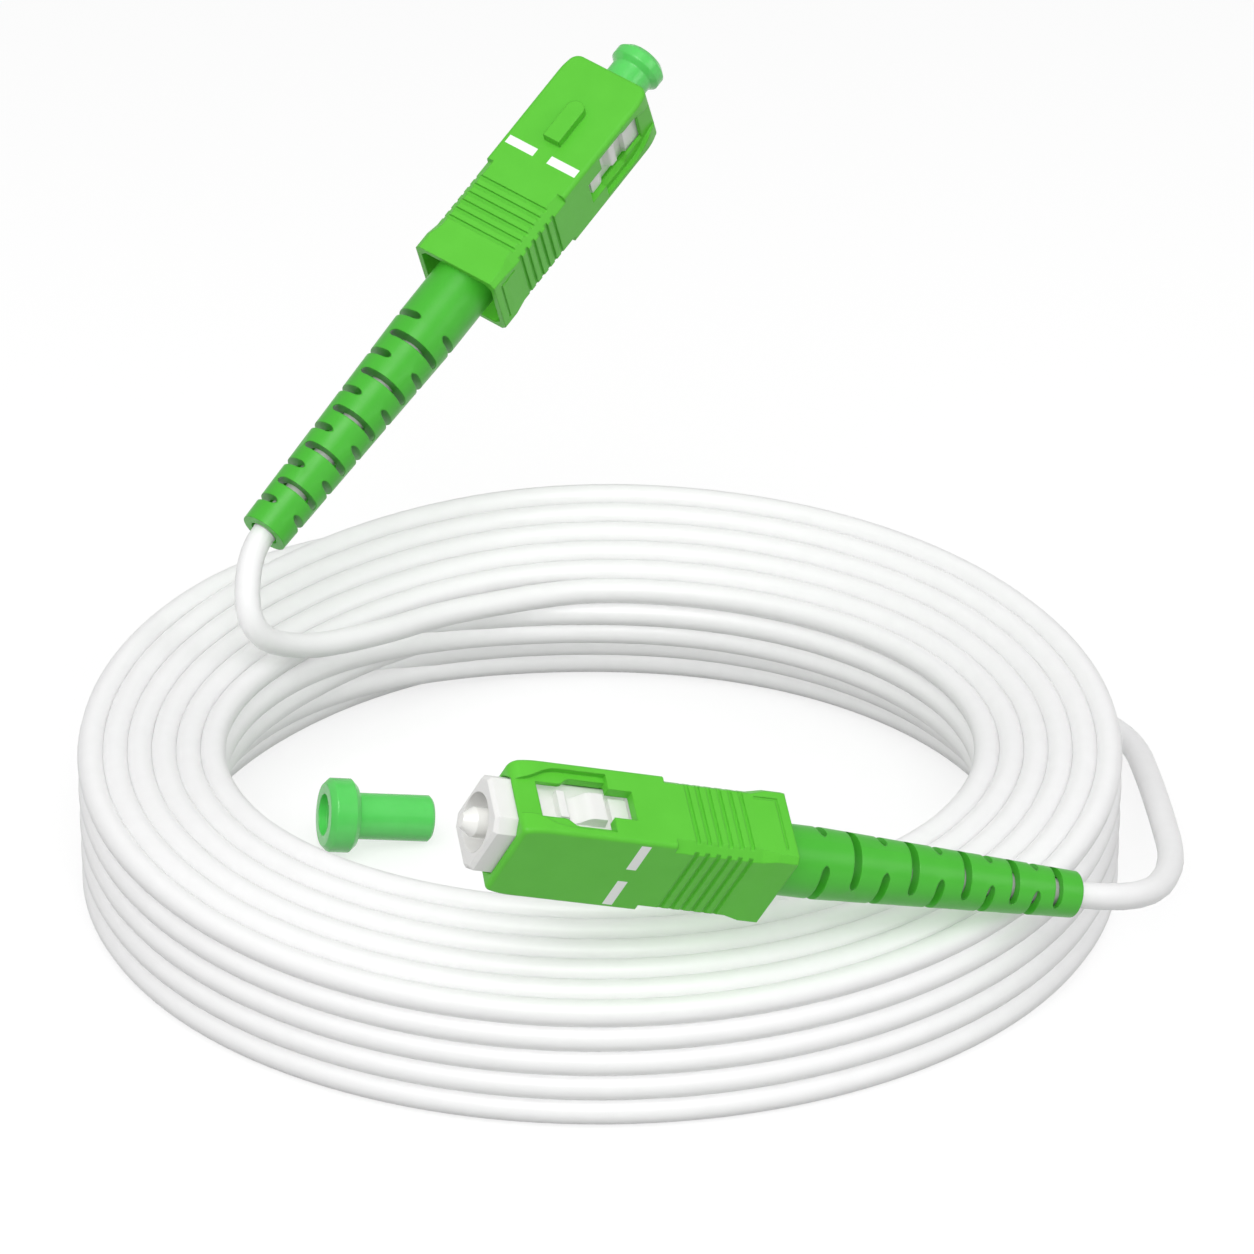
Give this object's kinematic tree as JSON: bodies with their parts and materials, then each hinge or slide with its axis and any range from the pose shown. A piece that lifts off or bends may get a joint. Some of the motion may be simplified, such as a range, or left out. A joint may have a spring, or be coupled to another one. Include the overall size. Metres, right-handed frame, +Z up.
{
  "type": "sc fibre patch cord",
  "caption": "Coiled simplex fibre patch cord with a push-pull rectangular plug and flexible boot on each end, one plug capped and the other with its dust cap lying beside it.",
  "frame": {"origin": "centre of the coil on the surface it lies on", "axes": "+X to the right and +Y away as the coil is seen from the front, +Z up out of the surface"},
  "size_m": [0.0975, 0.1098, 0.0575],
  "materials": {
    "housing_green": "satin moulded plastic, two plain white bars on each broad face",
    "boot_green": "soft satin",
    "cap_green": "soft, slightly see-through",
    "frame_white": "satin",
    "zirconia": "ground",
    "plated_metal": "plated",
    "spring_steel": "bright wire",
    "crimp_metal": "plain",
    "buffer_white": "plain",
    "cable_white": "smooth satin jacket"
  },
  "bodies": {
    "cord": {"plug_frame_a": "frame_white", "spring_a": "spring_steel", "stop_body_a": "plated_metal", "crimp_sleeve_a": "crimp_metal", "jacket_end_a": "cable_white", "boot_a": "boot_green", "lead_a": "cable_white", "plug_frame_b": "frame_white", "spring_b": "spring_steel", "stop_body_b": "plated_metal", "crimp_sleeve_b": "crimp_metal", "jacket_end_b": "cable_white", "boot_b": "boot_green", "dust_cap_b": "cap_green", "lead_b": "cable_white", "cable_coil": "cable_white"},
    "grip_a": {"outer_housing_a": "housing_green"},
    "grip_b": {"outer_housing_b": "housing_green"},
    "plunger_a": {"ferrule_a": "zirconia", "ferrule_flange_a": "plated_metal", "buffer_tube_a": "buffer_white"},
    "plunger_b": {"ferrule_b": "zirconia", "ferrule_flange_b": "plated_metal", "buffer_tube_b": "buffer_white"},
    "cap_a": {"dust_cap_a": "cap_green"}
  },
  "joints": [
    {"name": "grip_slide_a", "type": "slide", "parent": "cord", "child": "grip_a", "axis": [-0.5762, -0.631, -0.5195], "range_m": [0, 0.0016]},
    {"name": "grip_slide_b", "type": "slide", "parent": "cord", "child": "grip_b", "axis": [0.8928, 0.3338, -0.3024], "range_m": [0, 0.0016]},
    {"name": "ferrule_push_a", "type": "slide", "parent": "cord", "child": "plunger_a", "axis": [-0.5762, -0.631, -0.5195], "range_m": [0, 0.0009], "stiffness_N_per_m": 2000, "deforming": ["spring_a"]},
    {"name": "ferrule_push_b", "type": "slide", "parent": "cord", "child": "plunger_b", "axis": [0.8928, 0.3338, -0.3024], "range_m": [0, 0.0009], "stiffness_N_per_m": 2000, "deforming": ["spring_b"]},
    {"name": "cap_pull_a", "type": "slide", "parent": "cord", "child": "cap_a", "axis": [0.5762, 0.631, 0.5195], "range_m": [0, 0.0095]}
  ]
}
